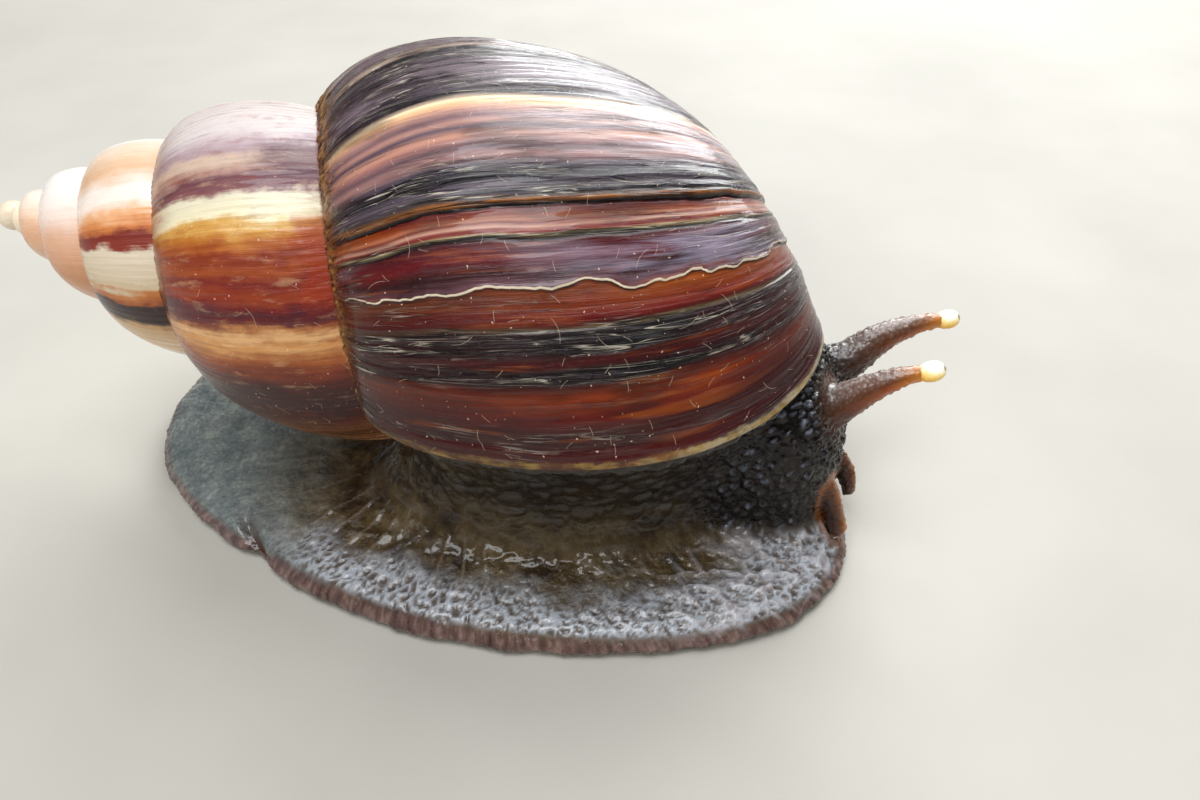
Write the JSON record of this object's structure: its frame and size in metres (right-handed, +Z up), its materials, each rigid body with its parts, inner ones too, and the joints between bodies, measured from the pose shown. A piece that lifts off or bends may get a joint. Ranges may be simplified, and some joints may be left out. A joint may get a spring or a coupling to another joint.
{
  "type": "giant african land snail",
  "caption": "Crawling land snail model with a tall striped spiral shell, broad flat foot and two pairs of feelers.",
  "frame": {"origin": "middle of the flat sole, on the ground", "axes": "+X to the head, +Y to the snail's left, +Z up"},
  "size_m": [0.0925, 0.0501, 0.0442],
  "materials": {
    "shell_spire": "glossy cream, pink and tan early whorls with fine riblets",
    "shell_banded": "glossy cream, orange and red-brown bands along the growth lines",
    "shell_body": "glossy dark brown, wine-red and grey-purple streaks along the growth lines, yellow lip",
    "mantle": "moist flesh, olive brown",
    "foot_skin": "wet grey-brown flesh with fine net wrinkles",
    "dark_skin": "wet, almost black-brown flesh with rows of pebbly tubercles",
    "feeler_skin": "moist grey-brown to orange-brown flesh",
    "lip_skin": "moist orange-brown flesh",
    "eye_tip": "moist yellow-cream bulb"
  },
  "bodies": {
    "root": {"shell_spire": "shell_spire", "shell_penultimate_whorl": "shell_banded", "shell_body_whorl": "shell_body", "mantle_collar": "mantle", "foot": "foot_skin", "tail": "foot_skin", "trunk": "dark_skin", "neck": "dark_skin", "head": "dark_skin", "upper_tentacle_left": "feeler_skin", "upper_tentacle_right": "feeler_skin", "lower_tentacle_left": "lip_skin", "lower_tentacle_right": "lip_skin", "eye_left": "eye_tip", "eye_right": "eye_tip"}
  },
  "joints": []
}
